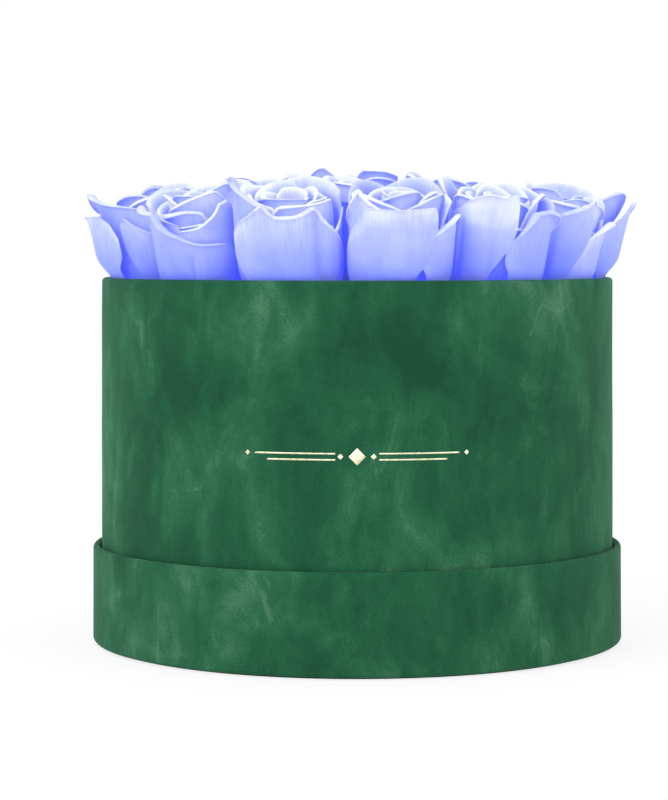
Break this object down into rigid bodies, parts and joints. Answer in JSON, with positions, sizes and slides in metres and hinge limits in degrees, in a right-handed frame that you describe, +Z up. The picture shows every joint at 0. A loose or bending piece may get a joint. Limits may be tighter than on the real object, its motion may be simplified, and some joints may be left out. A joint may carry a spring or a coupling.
{
  "type": "flower box",
  "caption": "Round suede-covered board box filled with preserved rose heads in foam, standing in its own turned-over lid as a tray.",
  "frame": {"origin": "centre of the flat outer face of the turned-over lid, on the surface that the box stands on", "axes": "+Z up, the front of the box faces -Y, +X to the right seen from the front"},
  "size_m": [0.2663, 0.2668, 0.233],
  "materials": {
    "suede": "matte",
    "greyboard": "matte",
    "lining_paper": "matte",
    "foam": "matte",
    "stem": "matte",
    "petal": "matte"
  },
  "bodies": {
    "lid": {"lid_side_cover": "suede", "lid_side_lining": "lining_paper", "lid_top_board": "greyboard", "lid_top_cover": "suede", "lid_top_lining": "lining_paper", "lid_wall": "greyboard"},
    "box": {"box_bottom_board": "greyboard", "box_bottom_cover": "suede", "box_bottom_lining": "lining_paper", "box_side_cover": "suede", "box_side_lining": "lining_paper", "box_wall": "greyboard", "centre_rose": "petal", "foam_lower_1": "foam", "foam_lower_2": "foam", "foam_lower_3": "foam", "foam_upper_1": "foam", "foam_upper_2": "foam", "foam_upper_3": "foam", "inner_rose_01": "petal", "inner_rose_02": "petal", "inner_rose_03": "petal", "inner_rose_04": "petal", "inner_rose_05": "petal", "inner_rose_06": "petal", "outer_rose_01": "petal", "outer_rose_02": "petal", "outer_rose_03": "petal", "outer_rose_04": "petal", "outer_rose_05": "petal", "outer_rose_06": "petal", "outer_rose_07": "petal", "outer_rose_08": "petal", "outer_rose_09": "petal", "outer_rose_10": "petal", "outer_rose_11": "petal", "outer_rose_12": "petal", "outer_rose_13": "petal", "rose_stems": "stem"}
  },
  "joints": [
    {"name": "box_lift", "type": "slide", "parent": "lid", "child": "box", "axis": [0, 0, 1], "range_m": [0, 0.06]}
  ]
}
